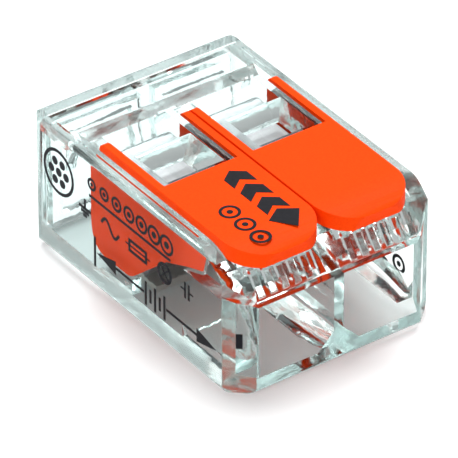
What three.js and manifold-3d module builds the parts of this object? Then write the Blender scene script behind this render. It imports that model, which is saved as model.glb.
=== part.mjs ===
// Lever wire connector: a clear two-pole housing, two hinged levers, and inside it a busbar
// and one clamping spring per pole. Millimetres, +Z up, origin at the middle of the underside.
// Wires go in at the front face, which looks along -Y; the levers lie on top, tips to the front.
import * as THREE from 'three';
import { mergeVertices } from 'three/addons/utils/BufferGeometryUtils.js';
import Module from 'manifold-3d';

const wasm = await Module();
wasm.setup();

// ---- driving dimensions ----------------------------------------------------------------------
const WIDTH = 13.1; // across both poles
const DEPTH = 18.7; // wire entry face to back
const BODY_TOP = 7.9; // top of the clear housing
const LEVER_TOP = 8.3; // top of the closed levers
const TONGUE_TOP = 8.15; // top of the fixed tongues between the lever arms
const SIDE_WALL = 0.9;
const FLOOR = 1.05;
const CHAMFER_X = 1.35; // front vertical corners, along X
const CHAMFER_Y = 1.2; // front vertical corners, along Y
const REAR_RADIUS = 1.2; // rear vertical corners
const EDGE_RADIUS = 0.35; // long outer edges
const RUNNING_GAP = 0.08; // lever against wall, tongue and neighbour
const SEAM = 0.1; // rear cover against housing
const STAND_OFF = 0.3; // metal parts against the plastic

const LEVER_INNER = 0.07; // lever faces nearest the middle
const ARM = 0.42; // lever arm and flank thickness
const PLATE_UNDER = 7.45; // underside of the finger plate
const PIVOT_Y = 1.8;
const PIVOT_Z = 4.7;
const ARM_SWEEP = 4.58; // clearance radius of the turning arms
const LOBE_SWEEP = 3.05; // clearance radius of the lobes at the bottom
const WEB_RADIUS = 4.62; // rear face of the finger plate, about the pivot
const TONGUE_RADIUS = 4.5; // front face of the fixed tongue, about the pivot

const BOW_Y = -0.5; // clamping spring: centre of its front bow
const BOW_Z = 5.35;
const BOW_RADIUS = 0.95; // to the middle of the strip
const STRIP = 0.4; // spring strip thickness
const SPRING_WIDTH = 3.4;
const LEG_ANGLE = 55; // closed clamp leg, degrees below level
const LEG_LENGTH = 3.9;
const LEG_LIFT = 45; // degrees that the leg turns while its lever opens
const LEVER_OPENING = 90;

const FRONT = -DEPTH / 2;
const BACK = DEPTH / 2;
const INNER_X = WIDTH / 2 - SIDE_WALL; // inner face of a side wall
const LEVER_OUTER = INNER_X - RUNNING_GAP;
const POLE_X = (LEVER_INNER + LEVER_OUTER) / 2;
const TONGUE_INNER = LEVER_INNER + ARM + RUNNING_GAP;
const TONGUE_OUTER = LEVER_OUTER - ARM - RUNNING_GAP;
const COVER_Y = 8.2; // where the housing ends and the rear cover begins
const CHAMBER_BACK = 6.4; // inner rear end of the clamp chambers
const ROOF_UNDER = 6.85;
const BEYOND = 1; // how far cutting shapes reach past the faces they open

// ---- solids ----------------------------------------------------------------------------------
function solid(geometry) {
  const bare = geometry.index ? geometry.toNonIndexed() : geometry.clone();
  bare.deleteAttribute('normal');
  bare.deleteAttribute('uv');
  const merged = mergeVertices(bare, 1e-5);
  const mesh = new wasm.Mesh({
    numProp: 3,
    vertProperties: new Float32Array(merged.attributes.position.array),
    triVerts: new Uint32Array(merged.index.array),
  });
  return new wasm.Manifold(mesh);
}

function box([x0, x1], [y0, y1], [z0, z1]) {
  const geometry = new THREE.BoxGeometry(x1 - x0, y1 - y0, z1 - z0);
  geometry.translate((x0 + x1) / 2, (y0 + y1) / 2, (z0 + z1) / 2);
  return solid(geometry);
}

// A box whose section changes evenly along Y: near and far are [[x0, x1], [z0, z1]].
function funnel(nearY, near, farY, far) {
  const geometry = new THREE.BoxGeometry(1, 1, 1);
  const place = geometry.attributes.position;
  for (let i = 0; i < place.count; i += 1) {
    const isFar = place.getY(i) > 0;
    const [xs, zs] = isFar ? far : near;
    const x = xs[place.getX(i) > 0 ? 1 : 0];
    const z = zs[place.getZ(i) > 0 ? 1 : 0];
    place.setXYZ(i, x, isFar ? farY : nearY, z);
  }
  return solid(geometry);
}

// A box whose section changes evenly along Z: low and high are [[x0, x1], [y0, y1]].
function well(lowZ, low, highZ, high) {
  const geometry = new THREE.BoxGeometry(1, 1, 1);
  const place = geometry.attributes.position;
  for (let i = 0; i < place.count; i += 1) {
    const isHigh = place.getZ(i) > 0;
    const [xs, ys] = isHigh ? high : low;
    const x = xs[place.getX(i) > 0 ? 1 : 0];
    const y = ys[place.getY(i) > 0 ? 1 : 0];
    place.setXYZ(i, x, y, isHigh ? highZ : lowZ);
  }
  return solid(geometry);
}

// An outline drawn in (y, z), pulled along X from x0 to x1.
function alongX(outline, x0, x1, curveSegments = 10) {
  const geometry = new THREE.ExtrudeGeometry(outline, { depth: x1 - x0, bevelEnabled: false, curveSegments });
  const axes = new THREE.Matrix4().makeBasis(
    new THREE.Vector3(0, 1, 0),
    new THREE.Vector3(0, 0, 1),
    new THREE.Vector3(1, 0, 0),
  );
  geometry.applyMatrix4(axes);
  geometry.translate(x0, 0, 0);
  return solid(geometry);
}

// An outline drawn in (x, y), pulled along Z from z0 to z1.
function alongZ(outline, z0, z1, curveSegments = 8) {
  const geometry = new THREE.ExtrudeGeometry(outline, { depth: z1 - z0, bevelEnabled: false, curveSegments });
  geometry.translate(0, 0, z0);
  return solid(geometry);
}

function outlineThrough(points) {
  return new THREE.Shape(points.map(([u, v]) => new THREE.Vector2(u, v)));
}

// An outline drawn in (x, z), pulled along Y from y0 to y1.
function alongY(outline, y0, y1, curveSegments = 6) {
  const geometry = new THREE.ExtrudeGeometry(outline, { depth: y1 - y0, bevelEnabled: false, curveSegments });
  geometry.rotateX(Math.PI / 2);
  geometry.translate(0, y1, 0);
  return solid(geometry);
}

function roller(y, z, radius, x0, x1, sides = 64) {
  const geometry = new THREE.CylinderGeometry(radius, radius, x1 - x0, sides);
  geometry.rotateZ(Math.PI / 2);
  geometry.translate((x0 + x1) / 2, y, z);
  return solid(geometry);
}

const onBothSides = (part) => part.add(part.mirror([1, 0, 0]));

function turnedAboutX(part, y, z, degrees) {
  return part.translate([0, -y, -z]).rotate([degrees, 0, 0]).translate([0, y, z]);
}

// ---- outer form shared by the housing and the rear cover --------------------------------------
function bodyPlan() {
  const half = WIDTH / 2;
  const outline = new THREE.Shape();
  outline.moveTo(-half + CHAMFER_X, FRONT);
  outline.lineTo(half - CHAMFER_X, FRONT);
  outline.lineTo(half, FRONT + CHAMFER_Y);
  outline.lineTo(half, BACK - REAR_RADIUS);
  outline.absarc(half - REAR_RADIUS, BACK - REAR_RADIUS, REAR_RADIUS, 0, Math.PI / 2);
  outline.lineTo(-half + REAR_RADIUS, BACK);
  outline.absarc(-half + REAR_RADIUS, BACK - REAR_RADIUS, REAR_RADIUS, Math.PI / 2, Math.PI);
  outline.lineTo(-half, FRONT + CHAMFER_Y);
  return outline;
}

function bodyProfile() {
  const backEdge = 0.5; // radius of the top back edge
  const shoulder = [-5.7, BODY_TOP]; // where the cheeks begin to fall
  const brow = [-8.05, 6.85];
  const lip = [FRONT, 5.75]; // top of the upright front face
  const outline = new THREE.Shape();
  outline.moveTo(FRONT, EDGE_RADIUS);
  outline.absarc(FRONT + EDGE_RADIUS, EDGE_RADIUS, EDGE_RADIUS, Math.PI, 1.5 * Math.PI);
  outline.lineTo(BACK - EDGE_RADIUS, 0);
  outline.absarc(BACK - EDGE_RADIUS, EDGE_RADIUS, EDGE_RADIUS, 1.5 * Math.PI, 2 * Math.PI);
  outline.lineTo(BACK, BODY_TOP - backEdge);
  outline.absarc(BACK - backEdge, BODY_TOP - backEdge, backEdge, 0, Math.PI / 2);
  outline.lineTo(...shoulder);
  outline.quadraticCurveTo(-7.1, BODY_TOP, ...brow);
  outline.lineTo(...lip);
  return outline;
}

function bodySection() {
  const half = WIDTH / 2;
  const outline = new THREE.Shape();
  outline.moveTo(-half, EDGE_RADIUS);
  outline.absarc(-half + EDGE_RADIUS, EDGE_RADIUS, EDGE_RADIUS, Math.PI, 1.5 * Math.PI);
  outline.absarc(half - EDGE_RADIUS, EDGE_RADIUS, EDGE_RADIUS, 1.5 * Math.PI, 2 * Math.PI);
  outline.absarc(half - EDGE_RADIUS, BODY_TOP - EDGE_RADIUS, EDGE_RADIUS, 0, Math.PI / 2);
  outline.absarc(-half + EDGE_RADIUS, BODY_TOP - EDGE_RADIUS, EDGE_RADIUS, Math.PI / 2, Math.PI);
  return outline;
}

function bodyEnvelope() {
  const half = WIDTH / 2;
  return alongZ(bodyPlan(), 0, BODY_TOP)
    .intersect(alongX(bodyProfile(), -half, half))
    .intersect(alongY(bodySection(), FRONT, BACK));
}

// ---- levers ----------------------------------------------------------------------------------
const TIP = FRONT + 0.4;

function platePlan() {
  const radius = 2.2; // of the rounded fingertip corners
  const outline = new THREE.Shape();
  outline.moveTo(LEVER_INNER, 0);
  outline.lineTo(LEVER_INNER, TIP + radius);
  outline.absarc(LEVER_INNER + radius, TIP + radius, radius, Math.PI, 1.5 * Math.PI);
  outline.lineTo(LEVER_OUTER - radius, TIP);
  outline.absarc(LEVER_OUTER - radius, TIP + radius, radius, 1.5 * Math.PI, 2 * Math.PI);
  outline.lineTo(LEVER_OUTER, 0);
  return outline;
}

function plateProfile() {
  const outline = new THREE.Shape();
  outline.moveTo(0, PLATE_UNDER);
  outline.lineTo(0, LEVER_TOP);
  outline.lineTo(-6.4, LEVER_TOP);
  outline.quadraticCurveTo(-8, LEVER_TOP, TIP, 7.95);
  outline.lineTo(TIP + 0.2, 7.2);
  outline.lineTo(-6.5, PLATE_UNDER - 0.05);
  outline.lineTo(-6, PLATE_UNDER);
  return outline;
}

function flankOutline() {
  const rear = 4.15;
  const bottom = 2;
  const outline = new THREE.Shape();
  outline.moveTo(-6.4, PLATE_UNDER + 0.1);
  outline.lineTo(-5.9, 6.1);
  outline.lineTo(-4.75, 5.7);
  outline.lineTo(-2.7, 4.85);
  outline.lineTo(0.25, 2.3);
  outline.quadraticCurveTo(0.6, bottom, 1, bottom);
  outline.lineTo(2.8, bottom);
  outline.quadraticCurveTo(rear, bottom, rear, 3.9);
  outline.lineTo(rear, LEVER_TOP - 0.5);
  outline.quadraticCurveTo(rear, LEVER_TOP, rear - 0.5, LEVER_TOP);
  outline.lineTo(-3, LEVER_TOP);
  outline.lineTo(-3, PLATE_UNDER + 0.1);
  return outline;
}

// The ear of a clamp leg runs in a shallow cam groove on the inner face of each flank. The groove
// is the path of the ear as the lever sees it: the leg turns one way while the lever turns the other.
const EAR_ALONG = 1.7; // from the bow end, along the leg
const EAR_SIZE = 0.7;
const EAR_REACH = 0.14; // how far the ear enters the groove
const GROOVE_DEPTH = 0.22;
const GROOVE_CLEAR = 0.1;
const GROOVE_STEPS = 24;

function earSolid(x0, x1, grow) {
  const reach = EAR_SIZE / 2 + grow;
  const alongLeg = box([x0, x1], [EAR_ALONG - reach, EAR_ALONG + reach], [-STRIP / 2 - grow, STRIP / 2 + grow]);
  return alongLeg.translate([0, 0, -BOW_RADIUS]).rotate([-LEG_ANGLE, 0, 0]).translate([0, BOW_Y, BOW_Z]);
}

function camGroove(x0, x1) {
  let groove = earSolid(x0, x1, GROOVE_CLEAR);
  for (let step = 1; step <= GROOVE_STEPS; step += 1) {
    const share = step / GROOVE_STEPS;
    const ear = turnedAboutX(earSolid(x0, x1, GROOVE_CLEAR), BOW_Y, BOW_Z, LEG_LIFT * share);
    groove = groove.add(turnedAboutX(ear, PIVOT_Y, PIVOT_Z, LEVER_OPENING * share));
  }
  return groove;
}

function lever() {
  const plate = alongZ(platePlan(), 6.5, 9).intersect(alongX(plateProfile(), LEVER_INNER, LEVER_OUTER, 14));
  const web = plate.subtract(roller(PIVOT_Y, PIVOT_Z, WEB_RADIUS, -WIDTH, WIDTH, 120));
  const innerFlank = alongX(flankOutline(), LEVER_INNER, LEVER_INNER + ARM);
  const outerFlank = alongX(flankOutline(), LEVER_OUTER - ARM, LEVER_OUTER);
  const inner = innerFlank.subtract(camGroove(LEVER_INNER + ARM - GROOVE_DEPTH, LEVER_INNER + ARM + BEYOND));
  const outer = outerFlank.subtract(camGroove(LEVER_OUTER - ARM - BEYOND, LEVER_OUTER - ARM + GROOVE_DEPTH));
  return web.add(inner).add(outer);
}

// ---- clamping springs --------------------------------------------------------------------------
const SPRING_X = [POLE_X - SPRING_WIDTH / 2, POLE_X + SPRING_WIDTH / 2];
const HOOK_Y = 4.4; // middle of the strip where it turns down behind the frame
const HOOK_RADIUS = 0.5;
const HOOK_END_Z = 4.6;
const BOW_END = 195; // degrees round the bow where the fixed part stops
const LEG_START = 207; // degrees round the bow where the moving leg starts

const BOW_OUTER = BOW_RADIUS + STRIP / 2;
const BOW_INNER = BOW_RADIUS - STRIP / 2;
const radians = THREE.MathUtils.degToRad;

const onCircle = (radius, degrees) => {
  const angle = radians(degrees);
  return [BOW_Y + radius * Math.cos(angle), BOW_Z + radius * Math.sin(angle)];
};

// The fixed part: a short hook behind the busbar frame, the flat top leg, and the front bow.
function springFixed() {
  const level = BOW_Z + BOW_RADIUS;
  const outline = new THREE.Shape();
  outline.moveTo(HOOK_Y + STRIP / 2, HOOK_END_Z);
  outline.lineTo(HOOK_Y + STRIP / 2, level - HOOK_RADIUS);
  outline.absarc(HOOK_Y - HOOK_RADIUS, level - HOOK_RADIUS, HOOK_RADIUS + STRIP / 2, 0, Math.PI / 2);
  outline.lineTo(BOW_Y, BOW_Z + BOW_OUTER);
  outline.absarc(BOW_Y, BOW_Z, BOW_OUTER, Math.PI / 2, radians(BOW_END));
  outline.lineTo(...onCircle(BOW_INNER, BOW_END));
  outline.absarc(BOW_Y, BOW_Z, BOW_INNER, radians(BOW_END), Math.PI / 2, true);
  outline.lineTo(HOOK_Y - HOOK_RADIUS, BOW_Z + BOW_INNER);
  outline.absarc(HOOK_Y - HOOK_RADIUS, level - HOOK_RADIUS, HOOK_RADIUS - STRIP / 2, Math.PI / 2, 0, true);
  outline.lineTo(HOOK_Y - STRIP / 2, HOOK_END_Z);
  return alongX(outline, ...SPRING_X, 12);
}

// The moving part: the end of the bow and the straight leg that presses the wire on the busbar.
function springLeg() {
  const tangent = 270 - LEG_ANGLE;
  const outline = new THREE.Shape();
  outline.moveTo(...onCircle(BOW_INNER, LEG_START));
  outline.lineTo(...onCircle(BOW_OUTER, LEG_START));
  outline.absarc(BOW_Y, BOW_Z, BOW_OUTER, radians(LEG_START), radians(tangent));
  outline.lineTo(...onCircle(BOW_INNER, tangent));
  const bend = alongX(outline, ...SPRING_X, 4);
  const strip = box(SPRING_X, [-0.02, LEG_LENGTH], [-BOW_OUTER, -BOW_INNER]);
  const leg = strip.rotate([-LEG_ANGLE, 0, 0]).translate([0, BOW_Y, BOW_Z]);
  const ears = earSolid(TONGUE_INNER - RUNNING_GAP - EAR_REACH, TONGUE_OUTER + RUNNING_GAP + EAR_REACH, 0);
  return bend.add(leg).add(ears);
}

// ---- busbar -------------------------------------------------------------------------------------
const BAR_THICK = 0.4;
const BAR_LOW = FLOOR + 0.05;
const BAR_HALF = 4.55;
const BAR_FRONT = -0.3;
const BAR_BACK = 4.0;
const FRAME_HALF = 1.6;
const FRAME_Y = [3.45, 3.85]; // the upright frame that holds each spring's top leg
const FRAME_TOP = 5.8;

function busbar() {
  const base = box([-BAR_HALF, BAR_HALF], [BAR_FRONT, BAR_BACK], [BAR_LOW, BAR_LOW + BAR_THICK]);
  const frameX = [POLE_X - FRAME_HALF, POLE_X + FRAME_HALF];
  const frame = box(frameX, FRAME_Y, [BAR_LOW + BAR_THICK / 2, FRAME_TOP]);
  const post = 0.55;
  const crossbar = 0.9;
  const opening = box(
    [frameX[0] + post, frameX[1] - post],
    [FRAME_Y[0] - BEYOND, FRAME_Y[1] + BEYOND],
    [BAR_LOW, FRAME_TOP - crossbar],
  );
  return base.add(onBothSides(frame.subtract(opening)));
}

// ---- housing and rear cover --------------------------------------------------------------------
const PLUG_FACE = 7.75; // inner face of the plugs that locate the rear cover
const PLUG_WALL = 0.6;

function leverRecess() {
  const floorZ = 7.28; // under the finger plates
  const outline = new THREE.Shape();
  const start = Math.asin((floorZ - PIVOT_Z) / TONGUE_RADIUS);
  const end = Math.asin((BODY_TOP + 0.1 - PIVOT_Z) / TONGUE_RADIUS);
  outline.moveTo(PIVOT_Y - TONGUE_RADIUS * Math.cos(start), floorZ);
  outline.absarc(PIVOT_Y, PIVOT_Z, TONGUE_RADIUS, Math.PI - start, Math.PI - end, true);
  outline.lineTo(PIVOT_Y - TONGUE_RADIUS * Math.cos(end), BODY_TOP + BEYOND);
  outline.lineTo(FRONT - BEYOND, BODY_TOP + BEYOND);
  outline.lineTo(FRONT - BEYOND, 5);
  outline.lineTo(FRONT - 0.1, 5.65);
  outline.lineTo(-8.45, 6.98);
  outline.lineTo(-6.6, floorZ);
  return alongX(outline, -INNER_X, INNER_X, 12);
}

// Room for one flank: its closed place with a margin, and the path that its arm and lobe sweep.
function flankRoom(x0, x1) {
  const closed = outlineThrough([
    [-6.75, BODY_TOP + BEYOND],
    [-6.05, 5.98],
    [-4.8, 5.55],
    [-2.8, 4.72],
    [0.15, 2.15],
    [PIVOT_Y, 1.8],
    [PIVOT_Y + 1, BODY_TOP + BEYOND],
  ]);
  const lobes = roller(PIVOT_Y, PIVOT_Z, LOBE_SWEEP, x0, x1);
  const arms = roller(PIVOT_Y, PIVOT_Z, ARM_SWEEP, x0, x1);
  const armSide = box([x0, x1], [PIVOT_Y, PIVOT_Y + ARM_SWEEP + BEYOND], [2.1, BODY_TOP + BEYOND]);
  return alongX(closed, x0, x1).add(lobes).add(arms.intersect(armSide));
}

// The section of a wire passage, with its lower corners cut off to guide the wire to the middle.
function passageSection([x0, x1], [z0, z1], corner) {
  return outlineThrough([
    [x0 + corner, z0],
    [x1 - corner, z0],
    [x1, z0 + corner],
    [x1, z1],
    [x0, z1],
    [x0, z0 + corner],
  ]);
}

const PASSAGE_X = [0.3, INNER_X];
const PASSAGE_Z = [0.95, 5.35];
const GUIDE_CORNER = 1; // cut corners at the bottom of a passage
const PASSAGE_BACK = -4.2; // where the passages open into the clamp chamber

function wirePassage() {
  const flareBack = FRONT + CHAMFER_Y;
  const straight = alongY(passageSection(PASSAGE_X, PASSAGE_Z, GUIDE_CORNER), flareBack - 0.01, PASSAGE_BACK + 0.01);
  const narrowing = INNER_X - 4.45; // keeps the mouth clear of the front corner chamfers
  const mouthX = [PASSAGE_X[0], PASSAGE_X[1] - narrowing];
  const mouth = funnel(FRONT - CHAMFER_Y, [mouthX, PASSAGE_Z], flareBack, [PASSAGE_X, PASSAGE_Z]);
  const guide = alongY(passageSection([PASSAGE_X[0], WIDTH], PASSAGE_Z, GUIDE_CORNER), FRONT - CHAMFER_Y, flareBack);
  return mouth.intersect(guide).add(straight);
}

// Hollow between a passage's roof and the finger plate, open upward under the plate.
function plateCore() {
  return box([0.75, INNER_X - 0.75], [-7.5, -2.75], [PASSAGE_Z[1] + 0.6, BODY_TOP + BEYOND]);
}

function clampChamber() {
  const between = [TONGUE_INNER, TONGUE_OUTER];
  const front = box(between, [PASSAGE_BACK, CHAMBER_BACK], [FLOOR, PASSAGE_Z[1]]);
  const bowRoom = box(between, [-1.9, CHAMBER_BACK], [FLOOR, ROOF_UNDER]);
  const rear = box([-0.01, INNER_X], [CHAMBER_BACK - 0.1, COVER_Y + BEYOND], [FLOOR, ROOF_UNDER]);
  const pocket = well(ROOF_UNDER - 0.2, [[1.9, 4.3], [-0.4, 1.95]], TONGUE_TOP + 0.2, [[1.0, 4.75], [-0.8, 2.35]]);
  const barY = [BAR_FRONT - STAND_OFF, BAR_BACK + STAND_OFF];
  const barRoom = box([-BEYOND, between[0] + 0.1], barY, [FLOOR, BAR_LOW + 0.7]);
  return front.add(bowRoom).add(rear).add(pocket).add(barRoom);
}

// Free space beside the outer flank, down to the floor, around a low saddle that carries the lobe.
function sideSpace() {
  const across = [TONGUE_OUTER - 0.02, INNER_X];
  const space = box(across, [PASSAGE_BACK, CHAMBER_BACK], [FLOOR, PASSAGE_Z[1]]);
  const saddle = box([TONGUE_OUTER, WIDTH], [PIVOT_Y - 1.5, PIVOT_Y + 1.5], [0, 2.6]);
  return space.subtract(saddle);
}

// The raised tongue between the arms of a lever, rounded at the front and curved about the pivot.
function tongue() {
  const corner = 0.35;
  const [front, rear] = [-1.12, 5];
  const outline = new THREE.Shape();
  outline.moveTo(TONGUE_INNER, rear);
  outline.lineTo(TONGUE_INNER, front + corner);
  outline.absarc(TONGUE_INNER + corner, front + corner, corner, Math.PI, 1.5 * Math.PI);
  outline.absarc(TONGUE_OUTER - corner, front + corner, corner, 1.5 * Math.PI, 2 * Math.PI);
  outline.lineTo(TONGUE_OUTER, rear);
  const block = alongZ(outline, ROOF_UNDER + 0.1, TONGUE_TOP);
  return block.intersect(roller(PIVOT_Y, PIVOT_Z, TONGUE_RADIUS, -WIDTH, WIDTH, 120));
}

// Behind the tongues: the groove in the roof that the root of an open lever's plate stands in.
function standingGroove() {
  const [floorZ, rearY] = [7.42, 5.6];
  const open = alongX(
    outlineThrough([
      [PIVOT_Y + 1, floorZ],
      [rearY, floorZ],
      [rearY + 0.4, BODY_TOP - 0.1],
      [rearY + 0.6, BODY_TOP + 0.1],
      [PIVOT_Y + 1, BODY_TOP + BEYOND],
    ]),
    -INNER_X,
    INNER_X,
  );
  return open.subtract(roller(PIVOT_Y, PIVOT_Z, TONGUE_RADIUS, -WIDTH, WIDTH, 120));
}

// Short ribs in a row down the slope below a fingertip.
function gripRibs() {
  const outline = outlineThrough([
    [-9.3, 5.6],
    [-9.3, 5.95],
    [-8.42, 7.09],
    [-8.1, 7],
    [-8.3, 6.8],
  ]);
  const [first, pitch, width, count] = [0.8, 0.76, 0.4, 6];
  let ribs = alongX(outline, first, first + width);
  for (let i = 1; i < count; i += 1) {
    ribs = ribs.add(alongX(outline, first + i * pitch, first + i * pitch + width));
  }
  return ribs;
}

// A shallow channel along the top of a side wall.
function wallChannel() {
  const middle = WIDTH / 2 - SIDE_WALL / 2;
  const half = 0.14; // of its width, and its depth
  return box([middle - half, middle + half], [-5.4, COVER_Y - 0.6], [BODY_TOP - half, BODY_TOP + BEYOND]);
}

function housing() {
  const rear = box([-WIDTH, WIDTH], [COVER_Y, BACK + BEYOND], [-BEYOND, BODY_TOP + BEYOND]);
  const insidePole = wirePassage()
    .add(wallChannel())
    .add(plateCore())
    .add(clampChamber())
    .add(sideSpace())
    .add(flankRoom(-0.01, TONGUE_INNER))
    .add(flankRoom(TONGUE_OUTER, INNER_X));
  return bodyEnvelope()
    .subtract(rear)
    .subtract(standingGroove())
    .subtract(leverRecess())
    .add(onBothSides(tongue().add(gripRibs())))
    .subtract(onBothSides(insidePole));
}

function rearCover() {
  const slab = bodyEnvelope().intersect(
    box([-WIDTH, WIDTH], [COVER_Y + SEAM, BACK + BEYOND], [-BEYOND, BODY_TOP + BEYOND]),
  );
  const plug = box([0.35 + SEAM, INNER_X - SEAM], [PLUG_FACE, COVER_Y + 0.5], [FLOOR + SEAM, ROOF_UNDER - SEAM]);
  const wall = SEAM + PLUG_WALL;
  const plugHollow = box([1, INNER_X - wall], [PLUG_FACE - BEYOND, COVER_Y], [FLOOR + wall, ROOF_UNDER - wall]);
  return slab.add(onBothSides(plug.subtract(plugHollow)));
}

// ---- materials and scene graph --------------------------------------------------------------------
const clearPlastic = () => new THREE.MeshStandardMaterial({
  color: 0xdfe9e8,
  roughness: 0.08,
  metalness: 0,
  transparent: true,
  opacity: 0.4,
});
const orangePlastic = () => new THREE.MeshStandardMaterial({ color: 0xff5312, roughness: 0.45, metalness: 0 });
const springSteel = () => new THREE.MeshStandardMaterial({ color: 0xa9abad, roughness: 0.32, metalness: 1 });
const tinnedCopper = () => new THREE.MeshStandardMaterial({ color: 0xc4bfb6, roughness: 0.38, metalness: 1 });

const group = new THREE.Group();

function put(name, part, material) {
  const { vertProperties, triVerts, numProp } = part.getMesh();
  const places = new Float32Array((vertProperties.length / numProp) * 3);
  for (let i = 0; i < places.length / 3; i += 1) {
    places.set(vertProperties.subarray(i * numProp, i * numProp + 3), i * 3);
  }
  const geometry = new THREE.BufferGeometry();
  geometry.setAttribute('position', new THREE.BufferAttribute(places, 3));
  geometry.setIndex(new THREE.BufferAttribute(new Uint32Array(triVerts), 1));
  geometry.computeVertexNormals();
  const mesh = new THREE.Mesh(geometry, material);
  mesh.name = name;
  group.add(mesh);
}

put('housing', housing(), clearPlastic());
put('rear_cover', rearCover(), clearPlastic());
put('busbar', busbar(), tinnedCopper());

const sides = { right: (part) => part, left: (part) => part.mirror([1, 0, 0]) };
for (const [side, onSide] of Object.entries(sides)) {
  put(`lever_${side}`, onSide(lever()), orangePlastic());
  put(`clamp_spring_${side}`, onSide(springFixed()), springSteel());
  put(`clamp_leg_${side}`, onSide(springLeg()), springSteel());
}

export default group;
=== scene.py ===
"""Looks of a two-pole lever wire connector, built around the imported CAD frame.

Lengths are given in millimetres and turned to metres by MM. The frame is the CAD's own:
origin at the middle of the underside, +X across the poles, wire entries on the -Y face, +Z up.
"""
import math

import bmesh
import bpy
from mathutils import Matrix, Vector


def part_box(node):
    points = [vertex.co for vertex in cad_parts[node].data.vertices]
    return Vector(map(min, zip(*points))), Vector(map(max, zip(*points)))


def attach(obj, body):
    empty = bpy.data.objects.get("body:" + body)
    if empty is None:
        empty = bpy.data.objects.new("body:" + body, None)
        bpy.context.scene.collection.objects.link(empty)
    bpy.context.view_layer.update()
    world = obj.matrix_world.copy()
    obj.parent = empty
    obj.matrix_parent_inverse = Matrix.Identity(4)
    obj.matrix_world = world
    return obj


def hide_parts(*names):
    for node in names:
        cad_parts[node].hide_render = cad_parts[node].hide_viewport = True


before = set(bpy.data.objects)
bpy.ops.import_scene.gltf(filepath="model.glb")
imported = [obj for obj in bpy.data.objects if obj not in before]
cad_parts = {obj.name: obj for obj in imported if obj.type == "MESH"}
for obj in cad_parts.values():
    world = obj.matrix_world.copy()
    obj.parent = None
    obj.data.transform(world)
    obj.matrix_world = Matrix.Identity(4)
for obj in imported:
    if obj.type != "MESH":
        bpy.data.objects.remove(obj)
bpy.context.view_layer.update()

MM = 0.001
scene = bpy.context.scene

# ---- sizes shared by the pieces, in millimetres, from the frame --------------------------------
housing_low, housing_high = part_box("housing")
HALF_WIDTH = housing_high.x / MM
FRONT_Y = housing_low.y / MM
LEVER_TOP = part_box("lever_left")[1].z / MM


# ---- node helpers ---------------------------------------------------------------------------------
def new_material(name):
    material = bpy.data.materials.new(name)
    material.use_nodes = True
    tree = material.node_tree
    tree.nodes.clear()
    output = tree.nodes.new("ShaderNodeOutputMaterial")
    return material, tree, output


def add_node(tree, kind, **sockets):
    node = tree.nodes.new(kind)
    for name, value in sockets.items():
        node.inputs[name.replace("_", " ")].default_value = value
    return node


def noise_bump(tree, scale, strength, distance, detail=3.0, stretch=(1, 1, 1)):
    """A bump from noise fixed to the piece, scale per metre and distance in metres, and its noise."""
    place = tree.nodes.new("ShaderNodeTexCoord")
    mapping = add_node(tree, "ShaderNodeMapping", Scale=stretch)
    noise = add_node(tree, "ShaderNodeTexNoise", Scale=scale, Detail=detail)
    bump = add_node(tree, "ShaderNodeBump", Strength=strength, Distance=distance)
    tree.links.new(place.outputs["Object"], mapping.inputs["Vector"])
    tree.links.new(mapping.outputs["Vector"], noise.inputs["Vector"])
    tree.links.new(noise.outputs["Fac"], bump.inputs["Height"])
    return bump, noise


def math_node(tree, operation, first, second):
    """A math node whose inputs are sockets or plain numbers; returns its output socket."""
    node = tree.nodes.new("ShaderNodeMath")
    node.operation = operation
    for socket, value in zip(node.inputs, (first, second)):
        if isinstance(value, (int, float)):
            socket.default_value = value
        else:
            tree.links.new(value, socket)
    return node.outputs["Value"]


def mixed(tree, share, first, second):
    mix = tree.nodes.new("ShaderNodeMixShader")
    tree.links.new(share, mix.inputs["Fac"])
    tree.links.new(first, mix.inputs[1])
    tree.links.new(second, mix.inputs[2])
    return mix.outputs["Shader"]


def see_through(tree, color):
    return add_node(tree, "ShaderNodeBsdfTransparent", Color=(*color, 1)).outputs["BSDF"]


# ---- materials --------------------------------------------------------------------------------------
def low_edges(tree):
    """1 on the upright faces beside the base, where a clear wall holds light back, and 0 elsewhere."""
    place = tree.nodes.new("ShaderNodeTexCoord")
    height = tree.nodes.new("ShaderNodeSeparateXYZ")
    tree.links.new(place.outputs["Object"], height.inputs["Vector"])
    low = add_node(
        tree,
        "ShaderNodeMapRange",
        From_Min=1.0 * MM,
        From_Max=2.0 * MM,
        To_Min=1.0,
        To_Max=0.0,
    )
    tree.links.new(height.outputs["Z"], low.inputs["Value"])
    shape = tree.nodes.new("ShaderNodeNewGeometry")
    facing = tree.nodes.new("ShaderNodeSeparateXYZ")
    tree.links.new(shape.outputs["Normal"], facing.inputs["Vector"])
    level = math_node(tree, "ABSOLUTE", facing.outputs["Z"], 0.0)
    upright = math_node(tree, "SUBTRACT", 1.0, level)
    return math_node(tree, "MULTIPLY", low.outputs["Result"], upright)


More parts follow.
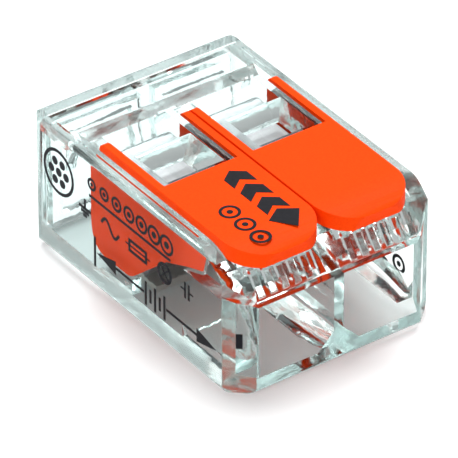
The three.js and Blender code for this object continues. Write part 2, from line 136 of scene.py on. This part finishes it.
def clear_plastic():
    ior = 1.57
    total_reflection = 0.97  # Fresnel share above which light is held in
    longest_path = 15.5  # bounces after which light held in is let through
    thin_tint = (0.93, 0.935, 0.935)
    dark_tint = (0.08, 0.08, 0.08)
    material, tree, output = new_material("clear_plastic")
    waves, _ = noise_bump(tree, scale=500.0, strength=0.22, distance=0.00012)
    bump, _ = noise_bump(tree, scale=2600.0, strength=0.1, distance=0.00003)
    tree.links.new(waves.outputs["Normal"], bump.inputs["Normal"])
    glass = add_node(
        tree,
        "ShaderNodeBsdfPrincipled",
        Base_Color=(0.83, 0.885, 0.88, 1),
        Roughness=0.07,
        IOR=ior,
        Transmission_Weight=1.0,
    )
    dull = add_node(
        tree,
        "ShaderNodeBsdfRefraction",
        Color=(0.911, 0.941, 0.938, 1),
        Roughness=0.07,
        IOR=ior,
    )
    for shader in (glass, dull):
        tree.links.new(bump.outputs["Normal"], shader.inputs["Normal"])
    # a surface less glossy than glass, except where it holds light in
    fresnel = add_node(tree, "ShaderNodeFresnel", IOR=ior)
    escapes = math_node(tree, "LESS_THAN", fresnel.outputs["Fac"], total_reflection)
    dullness = math_node(tree, "MULTIPLY", escapes, 0.9)
    surface = mixed(tree, dullness, glass.outputs["BSDF"], dull.outputs["BSDF"])
    # shadows and bounced light pass straight on, and so does light held in for many turns
    through = see_through(tree, thin_tint)
    shade = mixed(tree, low_edges(tree), see_through(tree, thin_tint), see_through(tree, dark_tint))
    path = tree.nodes.new("ShaderNodeLightPath")
    held = math_node(tree, "GREATER_THAN", path.outputs["Ray Depth"], longest_path)
    passes = math_node(tree, "MAXIMUM", path.outputs["Is Diffuse Ray"], held)
    seen = mixed(tree, passes, surface, through)
    whole = mixed(tree, path.outputs["Is Shadow Ray"], seen, shade)
    tree.links.new(whole, output.inputs["Surface"])
    haze = add_node(tree, "ShaderNodeVolumeAbsorption", Color=(0.8, 0.9, 0.885, 1), Density=75.0)
    tree.links.new(haze.outputs["Volume"], output.inputs["Volume"])
    return material


def orange_plastic():
    material, tree, output = new_material("orange_plastic")
    skin = add_node(
        tree,
        "ShaderNodeBsdfPrincipled",
        Roughness=0.42,
        IOR=1.5,
        Specular_IOR_Level=0.025,
    )
    bump, noise = noise_bump(tree, scale=9000.0, strength=0.16, distance=0.00002, detail=4.0)
    ramp = tree.nodes.new("ShaderNodeValToRGB")
    ramp.color_ramp.elements[0].position = 0.3
    ramp.color_ramp.elements[0].color = (0.87, 0.049, 0.001, 1)
    ramp.color_ramp.elements[1].position = 0.7
    ramp.color_ramp.elements[1].color = (0.92, 0.059, 0.0015, 1)
    tree.links.new(noise.outputs["Fac"], ramp.inputs["Fac"])
    tree.links.new(ramp.outputs["Color"], skin.inputs["Base Color"])
    tree.links.new(bump.outputs["Normal"], skin.inputs["Normal"])
    tree.links.new(skin.outputs["BSDF"], output.inputs["Surface"])
    return material


def rolled_metal(name, dark, light, roughness):
    material, tree, output = new_material(name)
    metal = add_node(tree, "ShaderNodeBsdfPrincipled", Roughness=roughness, Metallic=1.0)
    bump, noise = noise_bump(tree, scale=2600.0, strength=0.25, distance=0.00002, stretch=(1, 0.08, 0.08))
    ramp = tree.nodes.new("ShaderNodeValToRGB")
    ramp.color_ramp.elements[0].color = (*dark, 1)
    ramp.color_ramp.elements[1].color = (*light, 1)
    tree.links.new(noise.outputs["Fac"], ramp.inputs["Fac"])
    tree.links.new(ramp.outputs["Color"], metal.inputs["Base Color"])
    tree.links.new(bump.outputs["Normal"], metal.inputs["Normal"])
    tree.links.new(metal.outputs["BSDF"], output.inputs["Surface"])
    return material


def black_ink():
    material, tree, output = new_material("black_ink")
    ink = add_node(tree, "ShaderNodeBsdfPrincipled", Roughness=0.5, Specular_IOR_Level=0.06)
    bump, noise = noise_bump(tree, scale=5000.0, strength=0.1, distance=0.00001)
    ramp = tree.nodes.new("ShaderNodeValToRGB")
    ramp.color_ramp.elements[0].color = (0.006, 0.006, 0.008, 1)
    ramp.color_ramp.elements[1].color = (0.016, 0.016, 0.02, 1)
    tree.links.new(noise.outputs["Fac"], ramp.inputs["Fac"])
    tree.links.new(ramp.outputs["Color"], ink.inputs["Base Color"])
    tree.links.new(bump.outputs["Normal"], ink.inputs["Normal"])
    tree.links.new(ink.outputs["BSDF"], output.inputs["Surface"])
    return material


def studio_paper():
    material, tree, output = new_material("studio_paper")
    paper = add_node(tree, "ShaderNodeBsdfDiffuse", Color=(0.94, 0.968, 0.97, 1))
    tree.links.new(paper.outputs["BSDF"], output.inputs["Surface"])
    return material


CLEAR = clear_plastic()
ORANGE = orange_plastic()
SPRING_STEEL = rolled_metal("spring_steel", (0.17, 0.175, 0.18), (0.28, 0.285, 0.29), 0.45)
TINNED_COPPER = rolled_metal("tinned_copper", (0.5, 0.48, 0.45), (0.7, 0.68, 0.64), 0.38)
INK = black_ink()


# ---- moulded pieces: the CAD solids with their edges rounded -----------------------------------------
SHARP_EDGE = 28  # degrees between the faces of an edge that is rounded
FLAT_JOIN = 0.6  # degrees between faces that are one flat face
SAME_POINT = 0.002 * MM
SAME_WAY = 0.85  # cosine above which an edge runs on along its neighbour
SMOOTH_TURN = 38  # degrees up to which the shading runs on over an edge
CLEAR_RADIUS = 0.25
CLEAR_ROOM = 2.2  # radii that the faces beside a rounded edge of clear plastic reach at least
LEVER_RADIUS = 0.2
METAL_RADIUS = 0.05


def edge_room(edge):
    """How far the faces beside an edge reach away from it at its ends."""
    along = (edge.verts[1].co - edge.verts[0].co).normalized()
    room = math.inf
    for vert in edge.verts:
        for other in vert.link_edges:
            way = other.other_vert(vert).co - vert.co
            if other is not edge and abs(way.normalized().dot(along)) < SAME_WAY:
                room = min(room, way.length)
    return room


def moulded(node, name, body, material, radius, segments=3, room=0.0):
    """The CAD solid with its sharp edges rounded to radius, in millimetres.

    Only edges whose faces reach more than room times the radius away from them are rounded.
    """
    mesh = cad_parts[node].data.copy()
    work = bmesh.new()
    work.from_mesh(mesh)
    bmesh.ops.remove_doubles(work, verts=work.verts, dist=SAME_POINT)
    bmesh.ops.dissolve_limit(
        work,
        angle_limit=math.radians(FLAT_JOIN),
        verts=work.verts,
        edges=work.edges,
    )
    weight = work.edges.layers.float.new("bevel_weight_edge")
    for edge in work.edges:
        if edge.is_manifold and edge.calc_face_angle() > math.radians(SHARP_EDGE):
            edge[weight] = 1.0 if edge_room(edge) > room * radius * MM else 0.0
    work.to_mesh(mesh)
    work.free()
    piece = bpy.data.objects.new(name, mesh)
    scene.collection.objects.link(piece)
    bevel = piece.modifiers.new("rounded_edges", "BEVEL")
    bevel.width = radius * MM
    bevel.segments = segments
    bevel.limit_method = "WEIGHT"
    bevel.use_clamp_overlap = True
    settle(piece, material)
    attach(piece, body)
    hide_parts(node)


def settle(piece, material):
    """Applies the modifiers, then shades rounded stretches smooth and leaves flat faces flat."""
    depsgraph = bpy.context.evaluated_depsgraph_get()
    mesh = bpy.data.meshes.new_from_object(piece.evaluated_get(depsgraph))
    piece.modifiers.clear()
    piece.data = mesh
    mesh.materials.clear()
    mesh.materials.append(material)
    mesh.shade_smooth()
    mesh.set_sharp_from_angle(angle=math.radians(SMOOTH_TURN))
    flat = piece.modifiers.new("flat_faces", "WEIGHTED_NORMAL")
    flat.mode = "FACE_AREA"
    flat.weight = 100
    flat.keep_sharp = True


def strip_part(node, name, body, material):
    moulded(node, name, body, material, METAL_RADIUS, segments=2)


moulded("housing", "clear_housing", "housing_body", CLEAR, CLEAR_RADIUS, room=CLEAR_ROOM)
moulded("rear_cover", "clear_rear_cover", "housing_body", CLEAR, CLEAR_RADIUS, room=CLEAR_ROOM)
moulded("lever_left", "orange_lever_left", "left_lever", ORANGE, LEVER_RADIUS)
moulded("lever_right", "orange_lever_right", "right_lever", ORANGE, LEVER_RADIUS)
strip_part("busbar", "tinned_busbar", "housing_body", TINNED_COPPER)
for side in ("left", "right"):
    strip_part(f"clamp_spring_{side}", f"steel_spring_{side}", "housing_body", SPRING_STEEL)
    strip_part(f"clamp_leg_{side}", f"steel_leg_{side}", f"{side}_leg", SPRING_STEEL)


# ---- printed marks: thin solids of ink on the walls and on a lever ---------------------------------
INK_GAP = 0.004
INK_THICK = 0.014
BOLD = 0.2  # widths of printed lines
LINE = 0.19
THIN = 0.17
HAIR = 0.1
LARGEST_MITRE = 0.4  # least cosine that a corner of a line is drawn out to


def ribbon(points, width, closed=False):
    """The outline of a line of even width through flat points: its left side, then its right."""
    points = [Vector(point) for point in points]
    count = len(points)
    left, right = [], []
    for i, point in enumerate(points):
        before = points[i - 1] if i or closed else point
        after = points[(i + 1) % count] if i < count - 1 or closed else point
        arriving = (point - before).normalized() if point != before else (after - point).normalized()
        leaving = (after - point).normalized() if after != point else arriving
        normal = Vector((-(arriving + leaving).y, (arriving + leaving).x)).normalized()
        reach = width / 2 / max(LARGEST_MITRE, normal.dot(Vector((-arriving.y, arriving.x))))
        left.append(point + normal * reach)
        right.append(point - normal * reach)
    return left, right


def ring(centre, radius, steps=28):
    turns = [2 * math.pi * i / steps for i in range(steps)]
    return [(centre[0] + radius * math.cos(t), centre[1] + radius * math.sin(t)) for t in turns]


def rectangle(left, right, low, high):
    return [(left, low), (right, low), (right, high), (left, high)]


class Marks:
    """Flat marks gathered on one surface. place(u, v, w) gives the point at (u, v), w proud of it."""

    def __init__(self, name, body, place):
        self.name = name
        self.body = body
        self.place = place
        self.work = bmesh.new()

    def level(self, points, height):
        return [self.work.verts.new(Vector(self.place(u, v, height)) * MM) for u, v in points]

    def patch(self, points):
        low = self.level(points, INK_GAP)
        high = self.level(points, INK_GAP + INK_THICK)
        self.work.faces.new(low)
        self.work.faces.new(high)
        for i in range(len(low)):
            self.work.faces.new((low[i - 1], low[i], high[i], high[i - 1]))

    def line(self, points, width, closed=False):
        left, right = ribbon(points, width, closed)
        if not closed:
            self.patch(left + right[::-1])
            return
        heights = (INK_GAP, INK_GAP + INK_THICK)
        outer_low, outer_high = [self.level(left, height) for height in heights]
        inner_low, inner_high = [self.level(right, height) for height in heights]
        for i in range(len(left)):
            for a, b in (
                (outer_low, inner_low),
                (outer_high, inner_high),
                (outer_low, outer_high),
                (inner_low, inner_high),
            ):
                self.work.faces.new((a[i - 1], a[i], b[i], b[i - 1]))

    def finish(self):
        bmesh.ops.recalc_face_normals(self.work, faces=self.work.faces)
        mesh = bpy.data.meshes.new(self.name)
        self.work.to_mesh(mesh)
        self.work.free()
        mesh.materials.append(INK)
        piece = bpy.data.objects.new(self.name, mesh)
        scene.collection.objects.link(piece)
        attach(piece, self.body)


def dot(marks, centre, radius):
    marks.patch(ring(centre, radius, steps=16))


def conductor_mark(marks, centre, radius):
    """A stranded conductor seen end on: one ring round seven round strands."""
    strand = radius * 0.2
    marks.line(ring(centre, radius), BOLD, closed=True)
    dot(marks, centre, strand)
    for place in ring(centre, radius * 0.52, steps=6):
        dot(marks, place, strand)


def strip_gauge(marks, inner_y, outer_y, height):
    """The length of wire to strip: a bar, two arrows that point apart, and a scale between them."""
    bar, bar_gap = 0.95, 0.15
    head_length, head_half, shaft_end = 1.75, 0.42, 1.0
    pitch, long_tick, short_tick = 0.42, 0.75, 0.42
    marks.line([(inner_y, height - bar), (inner_y, height + bar)], LINE)
    middle = (inner_y + outer_y) / 2
    for tip, way in ((inner_y - bar_gap, -1), (outer_y, 1)):
        head = tip + way * head_length
        marks.patch([(tip, height), (head, height + head_half), (head, height - head_half)])
        marks.line([(head, height), (middle - way * shaft_end, height)], THIN)
    for step in range(-2, 3):
        reach = long_tick if step % 2 == 0 else short_tick
        at = middle + step * pitch
        marks.line([(at, height - reach), (at, height + reach)], LINE)


def size_row(marks, start, end, height, count, smallest, largest):
    """Round solid conductors of growing size in a row."""
    for i in range(count):
        share = i / (count - 1)
        centre = (start + (end - start) * share, height)
        radius = smallest + (largest - smallest) * share
        marks.line(ring(centre, radius), THIN, closed=True)
        dot(marks, centre, radius * 0.42)


def earth_sign(marks, at, height):
    marks.line([(at, height + 0.6), (at, height)], LINE)
    for i, half in enumerate((0.55, 0.36, 0.17)):
        level = height - 0.22 * i
        marks.line([(at - half, level), (at + half, level)], LINE)


def wave_sign(marks, at, height):
    half, swing, steps = 0.8, 0.4, 20
    shares = [i / steps for i in range(steps + 1)]
    marks.line([(at + half - 2 * half * t, height + swing * math.sin(2 * math.pi * t)) for t in shares], LINE)


def fuse_sign(marks, at, height):
    half, tall, lead = 0.75, 0.32, 0.35
    marks.line(rectangle(at - half, at + half, height - tall, height + tall), LINE, closed=True)
    marks.line([(at - half - lead, height), (at + half + lead, height)], HAIR)


def lamp_sign(marks, at, height):
    radius = 0.55
    slant = radius * math.sqrt(0.5)
    marks.line(ring((at, height), radius), LINE, closed=True)
    marks.line([(at - slant, height - slant), (at + slant, height + slant)], HAIR)
    marks.line([(at - slant, height + slant), (at + slant, height - slant)], HAIR)


def capacitor_sign(marks, at, height):
    gap, reach, lead = 0.16, 0.5, 0.4
    for way in (-1, 1):
        plate = at + way * gap
        marks.line([(plate, height - reach), (plate, height + reach)], LINE)
        marks.line([(plate, height), (plate + way * lead, height)], HAIR)


def wall_marks():
    marks = Marks("wall_marks", "housing_body", lambda u, v, w: (-HALF_WIDTH - w, u, v))
    conductor_mark(marks, (6.5, 5.5), 1.3)
    size_row(marks, 3.45, -3.3, 6.42, 7, 0.3, 0.52)
    marks.line([(3.7, 5.64), (-3.65, 5.64)], THIN)
    for at, sign in (
        (4.1, earth_sign),
        (1.8, wave_sign),
        (-0.7, fuse_sign),
        (-3.1, lamp_sign),
        (-5.1, capacitor_sign),
    ):
        sign(marks, at, 4.55)
    strip_gauge(marks, 3.22, -7.7, 2.33)
    marks.finish()


def far_wall_marks():
    marks = Marks("far_wall_marks", "housing_body", lambda u, v, w: (HALF_WIDTH + w, u, v))
    size_row(marks, 3.4, -6.6, 4.9, 6, 0.3, 0.62)
    marks.line(ring((-6.45, 1.95), 0.46), LINE, closed=True)
    dot(marks, (-6.45, 1.95), 0.17)
    marks.patch([(-5.55, 1.6), (-4.9, 1.35), (-4.9, 1.85)])
    marks.finish()


def chamfer_mark():
    """A small block of ink on the left front chamfer."""
    chamfer_x, chamfer_y = 1.35, 1.2
    height, half, tall = 3.25, 0.18, 0.46
    across = Vector((chamfer_x, -chamfer_y, 0)).normalized()
    outward = Vector((-chamfer_y, -chamfer_x, 0)).normalized()
    middle = Vector((-HALF_WIDTH + chamfer_x / 2, FRONT_Y + chamfer_y / 2, height))

    def place(u, v, w):
        return middle + across * u + Vector((0, 0, v)) + outward * w

    marks = Marks("chamfer_mark", "housing_body", place)
    marks.patch(rectangle(-half, half, -tall, tall))
    marks.finish()


def lever_marks():
    """Which way to lift: bold bent blocks that end in an arrow, and a row of three dotted rings."""
    marks = Marks("lever_marks", "left_lever", lambda u, v, w: (u, v, LEVER_TOP + w))
    middle, half, lean, depth = -1.62, 0.72, 0.55, 0.95
    left, right = middle - half, middle + half
    for near in (-1.9, -3.35, -4.8):
        far = near - depth
        near_edge = [(left, near - lean), (middle, near), (right, near - lean)]
        far_edge = [(right, far - lean), (middle, far), (left, far - lean)]
        marks.patch(near_edge + far_edge)
    shoulder = 0.25
    marks.patch([(left - shoulder, -6.75), (middle, -6.1), (right + shoulder, -6.75), (middle, -8.0)])
    for i in range(3):
        centre = (-3.75, -4.95 - 1.35 * i)
        marks.line(ring(centre, 0.5), THIN, closed=True)
        dot(marks, centre, 0.17)
    marks.finish()


wall_marks()
far_wall_marks()
chamfer_mark()
lever_marks()


# ---- stage, light and camera ----------------------------------------------------------------------------
def floor():
    mesh = bpy.data.meshes.new("studio_floor")
    half = 1.5  # metres
    corners = [(u, v, 0) for u, v in rectangle(-half, half, -half, half)]
    mesh.from_pydata(corners, [], [(0, 1, 2, 3)])
    mesh.materials.append(studio_paper())
    piece = bpy.data.objects.new("studio_floor", mesh)
    piece.location.z = -0.02 * MM
    scene.collection.objects.link(piece)


def world_light():
    """An even white room, dimmest just above the level of the table."""
    world = bpy.data.worlds.new("studio")
    scene.world = world
    world.use_nodes = True
    tree = world.node_tree
    tree.nodes.clear()
    output = tree.nodes.new("ShaderNodeOutputWorld")
    sky = add_node(tree, "ShaderNodeBackground", Strength=0.62)
    place = tree.nodes.new("ShaderNodeTexCoord")
    split = tree.nodes.new("ShaderNodeSeparateXYZ")
    ramp = tree.nodes.new("ShaderNodeValToRGB")
    stops = ramp.color_ramp.elements
    stops[0].position = 0.0
    stops[0].color = (0.7, 0.72, 0.73, 1)
    stops[1].position = 1.0
    stops[1].color = (1.0, 1.0, 1.0, 1)
    for position, level in ((0.12, 0.62), (0.3, 0.95)):
        stop = stops.new(position)
        stop.color = (level, level, level, 1)
    tree.links.new(place.outputs["Generated"], split.inputs["Vector"])
    tree.links.new(split.outputs["Z"], ramp.inputs["Fac"])
    tree.links.new(ramp.outputs["Color"], sky.inputs["Color"])
    tree.links.new(sky.outputs["Background"], output.inputs["Surface"])


def softbox(name, place, size, power):
    lamp = bpy.data.lights.new(name, "AREA")
    lamp.shape = "RECTANGLE"
    lamp.size = size[0]
    lamp.size_y = size[1]
    lamp.energy = power
    piece = bpy.data.objects.new(name, lamp)
    piece.location = place
    piece.rotation_mode = "QUATERNION"
    piece.rotation_quaternion = (-Vector(place)).to_track_quat("-Z", "Y")
    scene.collection.objects.link(piece)


def camera():
    azimuth = math.radians(-35.578)
    elevation = math.radians(34.681)
    distance = 370.8 * MM
    aside, below = 0.215 * MM, 1.011 * MM  # from the object's middle to the picture's
    target = Vector((0, 0, LEVER_TOP / 2 * MM))
    back = Vector(
        (
            math.sin(azimuth) * math.cos(elevation),
            -math.cos(azimuth) * math.cos(elevation),
            math.sin(elevation),
        )
    )
    right = Vector((math.cos(azimuth), math.sin(azimuth), 0))
    up = back.cross(right)
    place = target + back * distance
    aim = target - right * aside - up * below
    lens = bpy.data.cameras.new("camera")
    lens.sensor_width = 36.0
    lens.lens = 558.3
    lens.clip_start = 0.01
    lens.clip_end = 10.0
    piece = bpy.data.objects.new("camera", lens)
    piece.location = place
    piece.rotation_mode = "QUATERNION"
    piece.rotation_quaternion = (aim - place).to_track_quat("-Z", "Y")
    scene.collection.objects.link(piece)
    scene.camera = piece


floor()
world_light()
softbox("key", (0.16, 0.2, 0.5), (0.34, 0.34), 3.6)
softbox("fill", (-0.42, -0.2, 0.35), (0.25, 0.25), 0.9)
camera()

scene.view_settings.view_transform = "Standard"
scene.cycles.use_denoising = True
scene.cycles.max_bounces = 32
scene.cycles.glossy_bounces = 24
scene.cycles.transmission_bounces = 24
scene.cycles.transparent_max_bounces = 24
scene.cycles.caustics_reflective = False
scene.cycles.caustics_refractive = False
